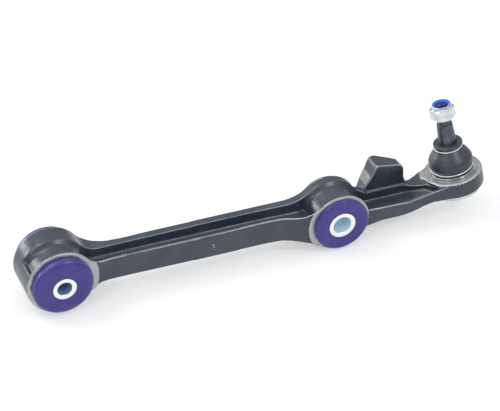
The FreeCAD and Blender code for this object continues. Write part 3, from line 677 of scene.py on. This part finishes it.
def steel_sleeve(node, mount, body, material):
    low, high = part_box(node)
    outer = (high.x - low.x) / 2 / MM
    half_length = (high.y - low.y) / 2 / MM
    bore = mounts[mount]["dims"]["r_mm"]
    corners = [
        (bore, -half_length + BORE_CHAMFER, 0.1),
        (bore + BORE_CHAMFER, -half_length, 0.1),
        (outer, -half_length, SLEEVE_BREAK),
        (outer, half_length, SLEEVE_BREAK),
        (bore + BORE_CHAMFER, half_length, 0.1),
        (bore, half_length - BORE_CHAMFER, 0.1),
    ]
    piece = turned(node + "_steel", corners, middle(node), ALONG_Y, material)
    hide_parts(node)
    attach(piece, body)
    return piece


steel_sleeve("inner_bush_sleeve", "inner_bolt_bore", "inner_sleeve", inner_zinc)
steel_sleeve("damper_bush_sleeve", "damper_bolt_bore", "damper_sleeve", damper_zinc)

# %% [markdown]
# ## The ball joint's housing
#
# The housing is turned from bar, pushed up through the boss and held there by a ring in
# its groove. It could be bored out of a cylinder with Booleans, but one section shows the
# throat, the cavity and the cover's seat at a glance. Its heights are counted in
# millimetres from the boss face along the stud.

# %% Housing
BOSS_THICKNESS = 17.0
HOUSING_RADIUS = 22.0
HOUSING_NECK = 19.0
RING_GROOVE = 20.6
RING_THICKNESS = 1.8
BEAD_BOTTOM = 2.6
HOUSING_TOP = 7.0
FLANGE_RADIUS = 24.6
FLANGE_DEPTH = 4.8
LOWER_OPENING = 17.4
CAVITY_RADIUS = 18.0
CAVITY_TOP = -0.5
COVER_SEAT_RADIUS = 19.2
COVER_SEAT_LOW = 1.3
COVER_SEAT_HIGH = 2.6
THROAT_RADIUS = 12.67
THROAT_HEIGHT = 2.25
MOUTH_RADIUS = 15.67


def housing():
    bottom = -BOSS_THICKNESS - FLANGE_DEPTH
    corners = [
        (LOWER_OPENING, bottom, 0.2),
        (FLANGE_RADIUS, bottom, 0.8),
        (FLANGE_RADIUS, -BOSS_THICKNESS, 0.3),
        (HOUSING_RADIUS, -BOSS_THICKNESS, 0.0),
        (HOUSING_RADIUS, 0.0, 0.15),
        (RING_GROOVE, 0.0, 0.1),
        (RING_GROOVE, RING_THICKNESS, 0.1),
        (HOUSING_RADIUS, RING_THICKNESS, 0.15),
        (HOUSING_RADIUS, BEAD_BOTTOM, 0.25),
        (HOUSING_NECK, BEAD_BOTTOM, 0.2),
        (HOUSING_NECK, HOUSING_TOP, 0.4),
        (MOUTH_RADIUS, HOUSING_TOP, 0.3),
        (THROAT_RADIUS, THROAT_HEIGHT, 0.3),
        (CAVITY_RADIUS, CAVITY_TOP, 0.2),
        (CAVITY_RADIUS, bottom + COVER_SEAT_HIGH, 0.1),
        (COVER_SEAT_RADIUS, bottom + COVER_SEAT_HIGH, 0.1),
        (COVER_SEAT_RADIUS, bottom + COVER_SEAT_LOW, 0.1),
        (LOWER_OPENING, bottom + COVER_SEAT_LOW, 0.2),
    ]
    piece = turned("ball_joint_housing_turned", corners, boss_face, stud_axis, housing_zinc, 160)
    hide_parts("ball_joint_housing")
    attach(piece, "arm")
    return piece


housing()

# %% [markdown]
# The ring and the cover are stamped from sheet and keep the CAD outline. Drawing them anew
# would risk a different outline, so a merged copy of the CAD mesh has its flat parts
# dissolved back to single faces, and a Bevel modifier then breaks its edges.

# %% Refined copies of stamped pieces
def refined_copy(node, name, material, body, edge):
    """A merged copy of a CAD node with its edges broken by a bevel."""
    bm = merged_copy(node)
    bmesh.ops.dissolve_limit(bm, angle_limit=math.radians(1.0), verts=bm.verts, edges=bm.edges)
    piece = new_piece(bm, name, material)
    bevel = piece.modifiers.new("broken edges", "BEVEL")
    bevel.width = edge * MM
    bevel.segments = 2
    bevel.limit_method = "ANGLE"
    bevel.angle_limit = math.radians(30)
    bevel.harden_normals = True
    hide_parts(node)
    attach(piece, body)
    return piece


refined_copy("retaining_circlip", "retaining_ring", ring_zinc, "arm", 0.2)
refined_copy("ball_joint_cover", "ball_joint_cover_plate", housing_zinc, "arm", 0.3)

# %% [markdown]
# The spring and the two halves of the seat are shut inside the housing. Better shapes for
# them would never be seen, so they keep the CAD's meshes. They still get their own
# finishes, for anyone who takes the joint apart.

# %% Pieces inside the housing keep their CAD shape
for node, material in (
    ("preload_disc_spring", spring_steel),
    ("ball_seat_lower", acetal),
    ("ball_seat_upper", acetal),
):
    mesh = nodes[node].data
    mesh.materials.clear()
    mesh.materials.append(material)
    print(node, "is", material.name)

# %% [markdown]
# ## The rubber boot
#
# The boot's foot grips the housing and its collar grips the stud, so it bends across two
# hinges. It is made as two moulded rings that meet on the shoulder.

# %% Helpers for the boot
SHOULDER = 19.0
CURVE_STEPS = 6


def smooth_run(points):
    """A Catmull-Rom curve through a few points."""
    padded = [points[0]] + points + [points[-1]]
    curve = []
    for index in range(1, len(padded) - 2):
        before, start, end, after = (Vector(point) for point in padded[index - 1:index + 3])
        for step in range(CURVE_STEPS):
            t = step / CURVE_STEPS
            curve.append(0.5 * (2 * start + (end - before) * t
                                + (2 * before - 5 * start + 4 * end - after) * t * t
                                + (3 * start - before - 3 * end + after) * t ** 3))
    curve.append(Vector(points[-1]))
    return curve


def boot_ring(name, outer, inner):
    """One ring of the boot between an outer and an inner line."""
    section = outer + list(reversed(inner))
    bm = spin_section(section, 160)
    stand_on_axis(bm, boss_face, stud_axis)
    piece = new_piece(bm, name, rubber)
    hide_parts("dust_boot")
    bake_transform(piece)
    return piece


# %% [markdown]
# A bellows could be sculpted from a sphere, but the boot is round, so its section says it
# all: a foot with a groove for the clip, a fat bulge, a shoulder and a collar with its own
# groove. The outer and inner lines are drawn apart, which gives the rubber its thickness.

# %% The boot's two rings
foot = rounded_section([
    (19.15, 2.75, 0.2),
    (20.9, 2.75, 0.5),
    (20.9, 3.7, 0.25),
    (20.1, 4.0, 0.2),
    (20.1, 5.8, 0.2),
    (20.9, 6.1, 0.3),
])[:-1]
bulge = smooth_run([
    (20.95, 6.6), (21.7, 8.6), (22.1, 12.0), (21.6, 15.2), (20.2, 18.0), (19.5, SHOULDER),
])
lower_inner = smooth_run([
    (19.15, 6.6), (19.7, 8.6), (20.1, 12.0), (19.6, 15.2), (18.3, 18.0), (17.5, SHOULDER),
])
boot_ring("boot_lower_ring", foot + bulge, lower_inner)
shoulder = smooth_run([(19.5, SHOULDER), (18.0, 21.3), (15.8, 23.9), (14.1, 26.1), (13.3, 27.4)])
collar = rounded_section([
    (13.2, 27.5, 0.1),
    (13.2, 28.6, 0.1),
    (14.6, 29.9, 0.5),
    (14.6, 32.3, 0.5),
    (13.7, 33.0, 0.4),
    (9.25, 33.0, 0.2),
])
upper_inner = smooth_run([
    (17.5, SHOULDER), (16.0, 20.9), (13.9, 23.1), (12.0, 24.9), (9.6, 26.4), (9.35, 28.0),
])
boot_ring("boot_upper_ring", shoulder + collar, upper_inner)

# %% [markdown]
# The clips are rings of round spring wire. A torus would be a closed ring, but a real clip
# laps its own ends for a short way. So a small circle is spun a little past a full turn
# while it climbs by its own thickness.

# %% Wire clips
WIRE_RADIUS = 0.6
CLIP_TURNS = 1.12


def wire_clip(node, name, ring_radius, height, body):
    """A ring of round wire, a little more than one turn, about the stud's axis."""
    steps = 150
    climb = 2.05 * WIRE_RADIUS * CLIP_TURNS
    bm = bmesh.new()
    circle = bmesh.ops.create_circle(bm, cap_ends=False, radius=WIRE_RADIUS * MM, segments=14)
    upright = Matrix.Rotation(math.radians(90), 4, "X")
    start = Matrix.Translation((ring_radius * MM, 0, (height - climb / 2) * MM))
    bmesh.ops.transform(bm, matrix=start @ upright, verts=circle["verts"])
    first = list(bm.edges)
    spun = bmesh.ops.spin(bm, geom=list(bm.verts) + first, cent=(0, 0, 0), axis=(0, 0, 1),
                          angle=math.tau * CLIP_TURNS, dvec=(0, 0, climb * MM / steps), steps=steps,
                          use_merge=False)
    last = [item for item in spun["geom_last"] if isinstance(item, bmesh.types.BMEdge)]
    bmesh.ops.contextual_create(bm, geom=first)
    bmesh.ops.contextual_create(bm, geom=last)
    bmesh.ops.recalc_face_normals(bm, faces=bm.faces)
    stand_on_axis(bm, boss_face, stud_axis)
    piece = new_piece(bm, name, wire_zinc)
    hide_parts(node)
    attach(piece, body)
    return piece


wire_clip("boot_lower_clip", "lower_clip_wire", 20.8, 4.9, "arm")
wire_clip("boot_upper_clip", "upper_clip_wire", 13.95, 28.1, "boot_collar")

# %% [markdown]
# ## The stud and its nut
#
# The stud is one turned piece: a ball, a waist, a taper and a rolled thread. A striped bump
# could fake the thread, but it would vanish at the outline and in the exported mesh. So a
# small tooth is spun about the axis while it climbs by its pitch, wound on a plain core.

# %% The stud's sizes and section
BALL_RADIUS = 14.0
BALL_FLAT = 11.5
WAIST_RADIUS = 7.0
TAPER_LARGE = 9.2
TAPER_START = 31.0
TAPER_END = 54.0
TAPER_RATIO = 8.0
THREAD_RADIUS = 7.0
THREAD_END = 69.5
THREAD_PITCH = 1.5
THREAD_DEPTH = 0.75


def stud_section():
    """Half section of the stud from the flat under the ball to the thread's end."""
    centre_height = -BALL_BELOW_FACE
    flat = centre_height - BALL_FLAT
    taper_small = TAPER_LARGE - (TAPER_END - TAPER_START) / (2 * TAPER_RATIO)
    core = THREAD_RADIUS - THREAD_DEPTH
    first_angle = math.asin(BALL_FLAT / BALL_RADIUS)
    last_angle = math.acos(WAIST_RADIUS / BALL_RADIUS)
    points = [Vector((0.0, flat))]
    steps = 40
    for step in range(steps + 1):
        angle = -first_angle + (first_angle + last_angle) * step / steps
        points.append(Vector((BALL_RADIUS * math.cos(angle),
                              centre_height + BALL_RADIUS * math.sin(angle))))
    upper = [
        (WAIST_RADIUS, points[-1][1] + 0.6, 0.5),
        (WAIST_RADIUS, 23.0, 1.5),
        (TAPER_LARGE, 27.0, 0.8),
        (TAPER_LARGE, TAPER_START, 0.5),
        (taper_small, TAPER_END, 0.3),
        (core - 0.1, TAPER_END + 0.8, 0.3),
        (core - 0.1, TAPER_END + 2.2, 0.2),
        (core, TAPER_END + 2.4, 0.1),
        (core, THREAD_END - 1.2, 0.1),
        (core - 0.8, THREAD_END, 0.2),
        (0.0, THREAD_END, 0.0),
        (0.0, THREAD_END - 1.0, 0.0),
    ]
    return points + rounded_section(upper)[:-1]


# %% The thread
def add_thread(bm, low, high, radius, depth, pitch):
    """Wind a triangular tooth about the axis from one height to another."""
    per_turn = 48
    turns = (high - low) / pitch
    steps = int(turns * per_turn)
    half = 0.46 * pitch
    root = radius - depth - 0.05
    tooth = [(root, -half), (radius, -0.07), (radius, 0.07), (root, half)]
    ring = [bm.verts.new((r * MM, 0.0, (low + h) * MM)) for r, h in tooth]
    edges = [bm.edges.new((ring[index - 1], ring[index])) for index in range(len(ring))]
    spun = bmesh.ops.spin(bm, geom=ring + edges, cent=(0, 0, 0), axis=(0, 0, 1), angle=math.tau * turns,
                          dvec=(0, 0, (high - low) * MM / steps), steps=steps, use_merge=False)
    last = [item for item in spun["geom_last"] if isinstance(item, bmesh.types.BMEdge)]
    bmesh.ops.contextual_create(bm, geom=edges)
    bmesh.ops.contextual_create(bm, geom=last)
    return turns


# %% Ball stud
def ball_stud():
    bm = spin_section(stud_section(), 96)
    turns = add_thread(bm, TAPER_END + 3.4, THREAD_END - 1.6, THREAD_RADIUS, THREAD_DEPTH, THREAD_PITCH)
    bmesh.ops.recalc_face_normals(bm, faces=bm.faces)
    stand_on_axis(bm, boss_face, stud_axis)
    piece = new_piece(bm, "ball_stud_turned", phosphate)
    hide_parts("ball_stud")
    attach(piece, "stud")
    print("thread turns", round(turns, 1))
    return piece


ball_stud()

# %% [markdown]
# A locknut is a hexagon chamfered to a cone at both ends, with a collar rolled over a blue
# nylon ring. Cutting a hexagonal prism with a cone would give the same curves, along with
# thin faces that shade badly. Here the hexagon is a circle of six points with its sides
# divided, so that when the chamfer pushes the points down to a cone each flat gets its
# curved shoulder, and the rings are bridged from the face up to the collar.

# %% The nut's sizes and outlines
ACROSS_FLATS = 22.0
NUT_BOTTOM = 61.4
NUT_HEX_TOP = 72.6
NUT_TOP = 76.2
NUT_TURN = 43.0
NUT_COLLAR = 9.9
INSERT_RADIUS = 9.0
INSERT_BOTTOM = 72.7
INSERT_BORE = 6.6
INSERT_HEIGHT = 2.8
NUT_RIM = 0.4
CHAMFER_SLOPE = math.tan(math.radians(28))


def hexagon_points():
    """Points around the hexagon's outline, in metres, with every side divided."""
    bm = bmesh.new()
    bmesh.ops.create_circle(bm, cap_ends=False, radius=ACROSS_FLATS / math.sqrt(3) * MM, segments=6)
    bmesh.ops.subdivide_edges(bm, edges=bm.edges, cuts=11)
    # A circle of six starts on +Y, and the nut's first corner is counted from +X.
    turn = Matrix.Rotation(math.radians(NUT_TURN - 90), 4, "Z")
    bmesh.ops.transform(bm, matrix=turn, verts=bm.verts)
    points = [vert.co.copy() for vert in bm.verts]
    bm.free()
    return sorted(points, key=lambda point: math.atan2(point.y, point.x))


def round_ring(bm, radius, height, outline):
    """A ring of points at one radius, one for each point of the outline."""
    verts = []
    for point in outline:
        flat = point.normalized() * radius * MM
        verts.append(bm.verts.new((flat.x, flat.y, height * MM)))
    return verts


# %% Locknut
def locknut():
    bm = bmesh.new()
    outline = hexagon_points()
    inside = ACROSS_FLATS / 2 - NUT_RIM
    rings = []
    for radius, height in ((THREAD_RADIUS + 0.8, NUT_BOTTOM), (inside, NUT_BOTTOM)):
        rings.append(round_ring(bm, radius, height, outline))
    for base, sign in ((NUT_BOTTOM, 1.0), (NUT_HEX_TOP, -1.0)):
        ring = []
        for point in outline:
            drop = (point.length / MM - inside) * CHAMFER_SLOPE
            ring.append(bm.verts.new((point.x, point.y, (base + sign * drop) * MM)))
        rings.append(ring)
    collar = (
        (inside, NUT_HEX_TOP),
        (NUT_COLLAR + 0.35, NUT_HEX_TOP + 0.05),
        (NUT_COLLAR, NUT_HEX_TOP + 0.35),
        (NUT_COLLAR, NUT_TOP - 1.7),
        (NUT_COLLAR - 0.15, NUT_TOP - 1.1),
        (NUT_COLLAR - 0.5, NUT_TOP - 0.4),
        (INSERT_RADIUS + 0.3, NUT_TOP - 0.05),
        (INSERT_RADIUS - 0.15, NUT_TOP),
        (INSERT_RADIUS - 0.35, NUT_TOP - 0.15),
        (INSERT_RADIUS - 0.3, NUT_TOP - 0.5),
        (INSERT_RADIUS, NUT_TOP - 0.6),
        (INSERT_RADIUS, INSERT_BOTTOM),
        (THREAD_RADIUS + 0.1, INSERT_BOTTOM),
        (THREAD_RADIUS + 0.1, NUT_BOTTOM + 0.8),
    )
    for radius, height in collar:
        rings.append(round_ring(bm, radius, height, outline))
    count = len(rings[0])
    for ring in rings:
        for index in range(count):
            bm.edges.new((ring[index - 1], ring[index]))
    for index in range(len(rings)):
        first, second = rings[index - 1], rings[index]
        loop = [bm.edges.get((first[i - 1], first[i])) for i in range(count)]
        loop += [bm.edges.get((second[i - 1], second[i])) for i in range(count)]
        bmesh.ops.bridge_loops(bm, edges=loop)
    bmesh.ops.recalc_face_normals(bm, faces=bm.faces)
    stand_on_axis(bm, boss_face, stud_axis)
    piece = new_piece(bm, "locknut_hexagon", nut_zinc)
    bevel = piece.modifiers.new("broken edges", "BEVEL")
    bevel.width = 0.22 * MM
    bevel.segments = 2
    bevel.limit_method = "ANGLE"
    bevel.angle_limit = math.radians(24)
    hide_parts("locknut")
    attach(piece, "stud")
    return piece


locknut()

# %% [markdown]
# The nylon ring is what locks the nut: its hole is smaller than the thread, which presses
# its own groove into it. It could be a coloured band on the nut, but it is a piece of its
# own, so it is turned like the others and rides with the stud.

# %% The nut's nylon ring
ring_piece = turned("locknut_nylon_ring", [
    (INSERT_BORE, INSERT_BOTTOM, 0.3),
    (INSERT_RADIUS - 0.02, INSERT_BOTTOM, 0.1),
    (INSERT_RADIUS - 0.02, INSERT_BOTTOM + INSERT_HEIGHT, 0.2),
    (INSERT_BORE, INSERT_BOTTOM + 2.95, 0.6),
], boss_face, stud_axis, nylon, 96)
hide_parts("locknut_insert")
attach(ring_piece, "stud")

# %% [markdown]
# ## Studio
#
# The arm lies on both eyes on a white sweep. The eyes differ in size, so the floor leans
# until it touches both; turning the arm instead would move it out of its frame. A little
# light of its own keeps the paper white and the shadows faint.

# %% Floor
inner_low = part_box("forged_arm")[0].z
DAMPER_EYE_RADIUS = 30.5
damper_low = damper_centre.z - DAMPER_EYE_RADIUS * MM
slope = math.atan2(damper_low - inner_low, damper_centre.x - inner_centre.x)
FLOOR_HALF = 6.0
FLOOR_GLOW = 0.47


def studio_floor():
    bm = bmesh.new()
    bmesh.ops.create_grid(bm, x_segments=2, y_segments=2, size=FLOOR_HALF)
    place = Matrix.Translation((inner_centre.x, 0, inner_low)) @ Matrix.Rotation(-slope, 4, "Y")
    bmesh.ops.transform(bm, matrix=place, verts=bm.verts)
    finish = Finish("studio_floor", (0.86, 0.86, 0.86), 0.9, specular=0.1)
    finish.link(finish.mix_colour(finish.noise(3.0), (0.45, 0.45, 0.452), (0.46, 0.46, 0.46)),
                finish.shader.inputs["Base Color"])
    # A backlit sweep keeps the paper white and the shadows faint.
    finish.set("Emission Color", (1.0, 1.0, 1.0, 1.0))
    finish.set("Emission Strength", FLOOR_GLOW)
    finish.material.cycles.emission_sampling = "NONE"
    # From below the paper is clear, so the underside of the arm can be seen.
    geometry = finish.node("ShaderNodeNewGeometry")
    clear = finish.node("ShaderNodeBsdfTransparent")
    sides = finish.node("ShaderNodeMixShader")
    finish.link(geometry.outputs["Backfacing"], sides.inputs["Fac"])
    finish.link(finish.shader.outputs["BSDF"], sides.inputs[1])
    finish.link(clear.outputs["BSDF"], sides.inputs[2])
    finish.link(sides.outputs["Shader"], finish.tree.nodes["Material Output"].inputs["Surface"])
    floor = new_piece(bm, "studio_floor", finish.material)
    return floor


studio_floor()

# %% [markdown]
# A bright surround gives the even, high-key light of a catalogue, and four soft boxes give
# shape: a large one from the upper left, smaller ones for the edges. Sun lamps would be
# simpler, but their hard edges would cut the soft shadows.

# %% Lights
def soft_box(name, position, target, size, power, colour=(1.0, 1.0, 1.0)):
    lamp = bpy.data.lights.new(name, "AREA")
    lamp.shape = "RECTANGLE"
    lamp.size, lamp.size_y = size
    lamp.energy = power
    lamp.color = colour
    light = bpy.data.objects.new(name, lamp)
    light.location = position
    aim = Vector(target) - Vector(position)
    light.rotation_mode = "QUATERNION"
    light.rotation_quaternion = aim.to_track_quat("-Z", "Y")
    bpy.context.scene.collection.objects.link(light)
    return light


arm_middle = (cad_low + cad_high) / 2
soft_box("key_box", (-0.75, 0.7, 1.45), arm_middle, (1.1, 0.8), 13.0, (1.0, 1.0, 0.97))
soft_box("edge_box", (0.80, -0.95, 1.25), arm_middle, (0.35, 0.35), 6.0, (0.95, 0.98, 1.0))
soft_box("left_box", (-1.1, -0.75, 0.95), arm_middle, (0.25, 0.8), 3.5, (0.93, 0.97, 1.0))
soft_box("back_box", (-0.95, 1.35, 0.30), arm_middle, (0.9, 0.4), 9.0, (0.97, 0.99, 1.0))


print("lights", len(bpy.data.lights))


# %% The surround
def gradient_world():
    """A surround that is bright overhead and greyer towards the horizon."""
    world = bpy.data.worlds.new("bright_surround")
    world.use_nodes = True
    tree = world.node_tree
    background = tree.nodes["Background"]
    direction = tree.nodes.new("ShaderNodeTexCoord")
    parts = tree.nodes.new("ShaderNodeSeparateXYZ")
    tree.links.new(direction.outputs["Generated"], parts.inputs["Vector"])
    climb = tree.nodes.new("ShaderNodeMapRange")
    climb.interpolation_type = "SMOOTHSTEP"
    climb.inputs["From Min"].default_value = 0.05
    climb.inputs["From Max"].default_value = 0.9
    climb.inputs["To Min"].default_value = 0.42
    climb.inputs["To Max"].default_value = 1.15
    tree.links.new(parts.outputs["Z"], climb.inputs["Value"])
    background.inputs["Color"].default_value = (0.98, 0.99, 1.0, 1.0)
    tree.links.new(climb.outputs["Result"], background.inputs["Strength"])
    bpy.context.scene.world = world
    return world


gradient_world()

# %% [markdown]
# The camera stands in front, to the left and above, far away behind a long lens, so the
# arm keeps its proportions from end to end; a short lens up close would swell the near
# eye. The colours are shown plain and unfiltered, so that white paper stays white.

# %% Camera
CAMERA_PLACE = (-0.4956, -1.5375, 1.2774)
CAMERA_AIM = Vector((0.330, 0.732, -0.597)).normalized()
CAMERA_UP = Vector((0.206, 0.561, 0.802))
LENS = 158.26


def studio_camera():
    data = bpy.data.cameras.new("studio_camera")
    data.lens = LENS
    data.sensor_width = 36.0
    data.clip_start = 0.05
    data.clip_end = 50.0
    camera = bpy.data.objects.new("studio_camera", data)
    right = CAMERA_AIM.cross(CAMERA_UP).normalized()
    up = right.cross(CAMERA_AIM)
    turn = Matrix((right, up, -CAMERA_AIM)).transposed()
    camera.matrix_world = Matrix.Translation(CAMERA_PLACE) @ turn.to_4x4()
    bpy.context.scene.collection.objects.link(camera)
    bpy.context.scene.camera = camera
    return camera


camera = studio_camera()
bpy.context.scene.view_settings.view_transform = "Standard"
print("lens in mm", round(camera.data.lens, 1))
